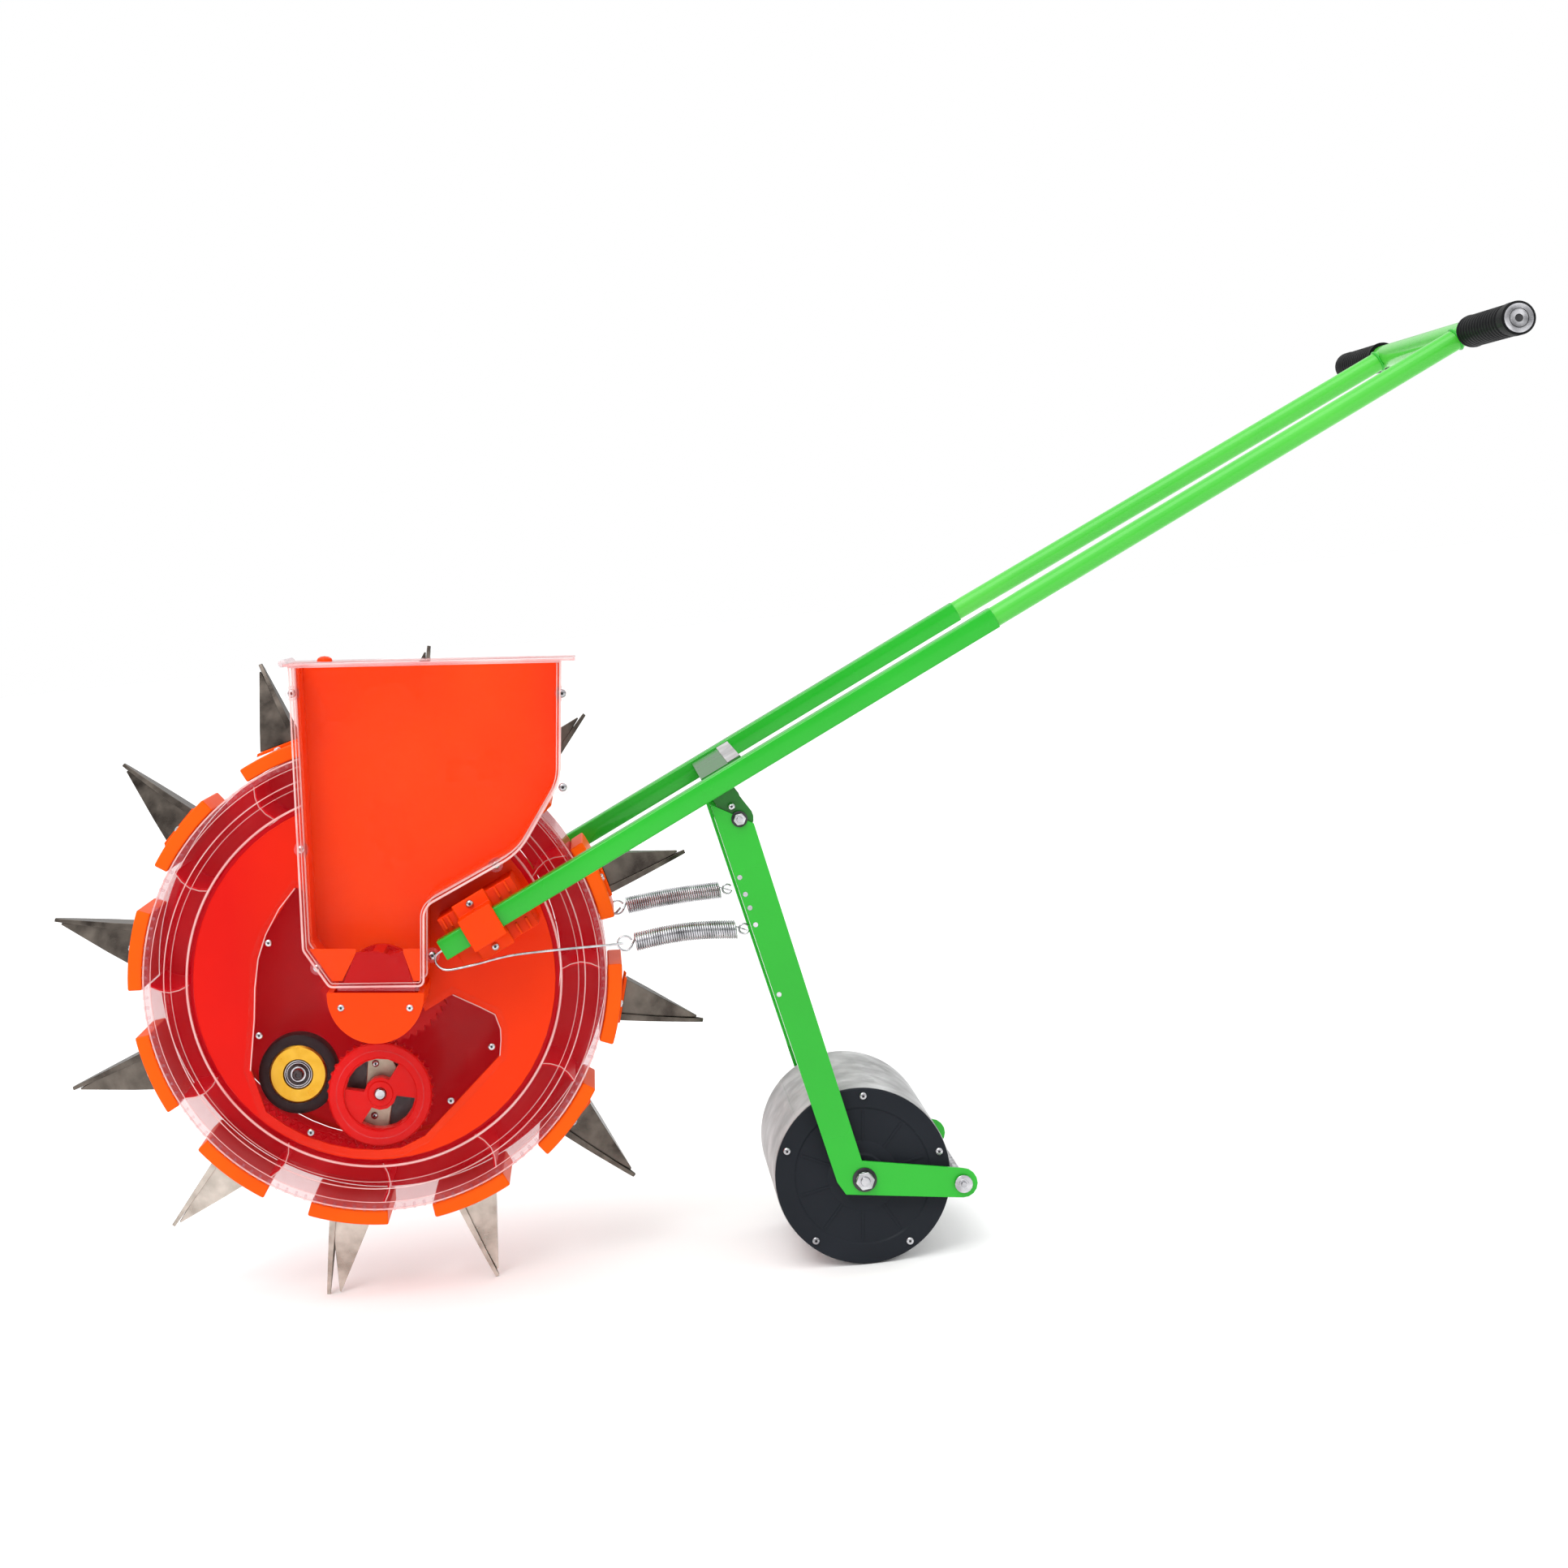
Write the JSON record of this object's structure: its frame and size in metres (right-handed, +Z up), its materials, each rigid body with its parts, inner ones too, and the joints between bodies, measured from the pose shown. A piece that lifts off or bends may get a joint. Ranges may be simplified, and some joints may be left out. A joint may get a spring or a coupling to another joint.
{
  "type": "push seeder",
  "caption": "Hand-pushed seeder: ringed wheel of sprung duckbill mouths round a fixed metering centre with side hopper, two-arm handle and sprung press roller.",
  "frame": {"origin": "centre of the bounding box on the floor, with the machine standing on two mouths and the roller", "axes": "+X to the handle (rear), +Y to the side away from the hopper, +Z up"},
  "size_m": [1.3384, 0.484, 0.7858],
  "materials": {
    "orange_plastic": "semi-gloss moulded",
    "clear_plastic": "clear moulded",
    "dark_red_plastic": "semi-gloss moulded",
    "red_plastic": "semi-gloss moulded",
    "green_paint": "glossy powder coat",
    "mouth_steel": "raw rolled sheet",
    "zinc_sheet": "galvanised",
    "bright_steel": "zinc plated",
    "black_plastic": "matt moulded",
    "tyre_rubber": "smooth",
    "grip_rubber": "ribbed"
  },
  "bodies": {
    "frame": {"side_plate_near": "orange_plastic", "side_plate_far": "orange_plastic", "mechanism_cover": "clear_plastic", "hopper_body": "orange_plastic", "hopper_front": "clear_plastic", "metering_housing": "orange_plastic", "arm_clamp_near": "orange_plastic", "arm_clamp_far": "orange_plastic", "lower_arm_near": "green_paint", "lower_arm_far": "green_paint", "upper_handle": "green_paint", "grip_near": "grip_rubber", "grip_far": "grip_rubber", "frame_crosspiece": "green_paint", "pivot_bolt": "bright_steel", "spring_near": "bright_steel", "spring_far": "bright_steel", "hook_wire_near": "bright_steel", "hook_wire_far": "bright_steel"},
    "seed_wheel": {"ring_rim": "clear_plastic", "ring_near": "clear_plastic", "ring_far": "dark_red_plastic", "ring_gear": "dark_red_plastic", "duckbill_01": "orange_plastic", "duckbill_02": "orange_plastic", "duckbill_03": "orange_plastic", "duckbill_04": "orange_plastic", "duckbill_05": "orange_plastic", "duckbill_06": "orange_plastic", "duckbill_07": "orange_plastic", "duckbill_08": "orange_plastic", "duckbill_09": "orange_plastic", "duckbill_10": "orange_plastic", "duckbill_11": "orange_plastic", "duckbill_12": "orange_plastic"},
    "idler": {"idler_gear": "red_plastic"},
    "rotor": {"metering_rotor": "dark_red_plastic"},
    "guide_1": {"guide_wheel_1": "tyre_rubber"},
    "guide_2": {"guide_wheel_2": "tyre_rubber"},
    "guide_3": {"guide_wheel_3": "tyre_rubber"},
    "lid": {"hopper_lid": "clear_plastic"},
    "press_frame": {"press_arm_near": "green_paint", "press_arm_far": "green_paint", "roller_axle": "bright_steel", "foot_rod": "bright_steel"},
    "roller": {"press_roller": "zinc_sheet", "roller_cap_near": "black_plastic", "roller_cap_far": "black_plastic"},
    "flap_01": {"flap_01": "mouth_steel"},
    "flap_02": {"flap_02": "mouth_steel"},
    "flap_03": {"flap_03": "mouth_steel"},
    "flap_04": {"flap_04": "mouth_steel"},
    "flap_05": {"flap_05": "mouth_steel"},
    "flap_06": {"flap_06": "mouth_steel"},
    "flap_07": {"flap_07": "mouth_steel"},
    "flap_08": {"flap_08": "mouth_steel"},
    "flap_09": {"flap_09": "mouth_steel"},
    "flap_10": {"flap_10": "mouth_steel"},
    "flap_11": {"flap_11": "mouth_steel"},
    "flap_12": {"flap_12": "mouth_steel"}
  },
  "joints": [
    {"name": "wheel_spin", "type": "hinge", "parent": "frame", "child": "seed_wheel", "pos_m": [-0.37436, 0, 0.29481], "axis": [0, -1, 0], "continuous": true},
    {"name": "idler_spin", "type": "hinge", "parent": "frame", "child": "idler", "pos_m": [-0.38111, 0, 0.18753], "axis": [0, -1, 0], "continuous": true},
    {"name": "rotor_spin", "type": "hinge", "parent": "frame", "child": "rotor", "pos_m": [-0.36541, 0, 0.29387], "axis": [0, -1, 0], "continuous": true},
    {"name": "guide_1_spin", "type": "hinge", "parent": "frame", "child": "guide_1", "pos_m": [-0.45633, 0, 0.20993], "axis": [0, -1, 0], "continuous": true},
    {"name": "guide_2_spin", "type": "hinge", "parent": "frame", "child": "guide_2", "pos_m": [-0.40689, 0, 0.40824], "axis": [0, -1, 0], "continuous": true},
    {"name": "guide_3_spin", "type": "hinge", "parent": "frame", "child": "guide_3", "pos_m": [-0.25665, 0, 0.30305], "axis": [0, -1, 0], "continuous": true},
    {"name": "flap_01_hinge", "type": "hinge", "parent": "seed_wheel", "child": "flap_01", "pos_m": [-0.16372, 0, 0.38207], "axis": [0, -1, 0], "range_deg": [0, 16], "stiffness_Nm_per_rad": 0.6, "springref_deg": -14.32},
    {"name": "flap_02_hinge", "type": "hinge", "parent": "seed_wheel", "child": "flap_02", "pos_m": [-0.23557, 0, 0.4757], "axis": [0, -1, 0], "range_deg": [0, 16], "stiffness_Nm_per_rad": 0.6, "springref_deg": -14.32},
    {"name": "flap_03_hinge", "type": "hinge", "parent": "seed_wheel", "child": "flap_03", "pos_m": [-0.3446, 0, 0.52086], "axis": [0, -1, 0], "range_deg": [0, 16], "stiffness_Nm_per_rad": 0.6, "springref_deg": -14.32},
    {"name": "flap_04_hinge", "type": "hinge", "parent": "seed_wheel", "child": "flap_04", "pos_m": [-0.46162, 0, 0.50546], "axis": [0, -1, 0], "range_deg": [0, 16], "stiffness_Nm_per_rad": 0.6, "springref_deg": -14.32},
    {"name": "flap_05_hinge", "type": "hinge", "parent": "seed_wheel", "child": "flap_05", "pos_m": [-0.55525, 0, 0.43361], "axis": [0, -1, 0], "range_deg": [0, 16], "stiffness_Nm_per_rad": 0.6, "springref_deg": -14.32},
    {"name": "flap_06_hinge", "type": "hinge", "parent": "seed_wheel", "child": "flap_06", "pos_m": [-0.60041, 0, 0.32457], "axis": [0, -1, 0], "range_deg": [0, 16], "stiffness_Nm_per_rad": 0.6, "springref_deg": -14.32},
    {"name": "flap_07_hinge", "type": "hinge", "parent": "seed_wheel", "child": "flap_07", "pos_m": [-0.58501, 0, 0.20756], "axis": [0, -1, 0], "range_deg": [0, 16], "stiffness_Nm_per_rad": 0.6, "springref_deg": -14.32},
    {"name": "flap_08_hinge", "type": "hinge", "parent": "seed_wheel", "child": "flap_08", "pos_m": [-0.51316, 0, 0.11393], "axis": [0, -1, 0], "range_deg": [0, 16], "stiffness_Nm_per_rad": 0.6, "springref_deg": -14.32},
    {"name": "flap_09_hinge", "type": "hinge", "parent": "seed_wheel", "child": "flap_09", "pos_m": [-0.40412, 0, 0.06877], "axis": [0, -1, 0], "range_deg": [-6, 10], "stiffness_Nm_per_rad": 0.6},
    {"name": "flap_10_hinge", "type": "hinge", "parent": "seed_wheel", "child": "flap_10", "pos_m": [-0.28711, 0, 0.08417], "axis": [0, -1, 0], "range_deg": [0, 16], "stiffness_Nm_per_rad": 0.6, "springref_deg": -14.32},
    {"name": "flap_11_hinge", "type": "hinge", "parent": "seed_wheel", "child": "flap_11", "pos_m": [-0.19348, 0, 0.15602], "axis": [0, -1, 0], "range_deg": [0, 16], "stiffness_Nm_per_rad": 0.6, "springref_deg": -14.32},
    {"name": "flap_12_hinge", "type": "hinge", "parent": "seed_wheel", "child": "flap_12", "pos_m": [-0.14832, 0, 0.26505], "axis": [0, -1, 0], "range_deg": [0, 16], "stiffness_Nm_per_rad": 0.6, "springref_deg": -14.32},
    {"name": "lid_hinge", "type": "hinge", "parent": "frame", "child": "lid", "pos_m": [-0.41725, 0, 0.58991], "axis": [0, -1, 0], "range_deg": [0, 110]},
    {"name": "press_swing", "type": "hinge", "parent": "frame", "child": "press_frame", "pos_m": [-0.03149, 0, 0.4096], "axis": [0, -1, 0], "range_deg": [0, 28], "stiffness_Nm_per_rad": 30, "springref_deg": -14.32, "deforming": ["spring_near", "spring_far"]},
    {"name": "roller_spin", "type": "hinge", "parent": "press_frame", "child": "roller", "pos_m": [0.0458, 0, 0.07921], "axis": [0, -1, 0], "continuous": true}
  ],
  "couplings": [
    {"joint": "idler_spin", "follows": "wheel_spin", "ratio": 3.2632},
    {"joint": "rotor_spin", "follows": "wheel_spin", "ratio": -2.5833},
    {"joint": "guide_1_spin", "follows": "wheel_spin", "ratio": 4.2201},
    {"joint": "guide_2_spin", "follows": "wheel_spin", "ratio": 4.2201},
    {"joint": "guide_3_spin", "follows": "wheel_spin", "ratio": 4.2201}
  ]
}
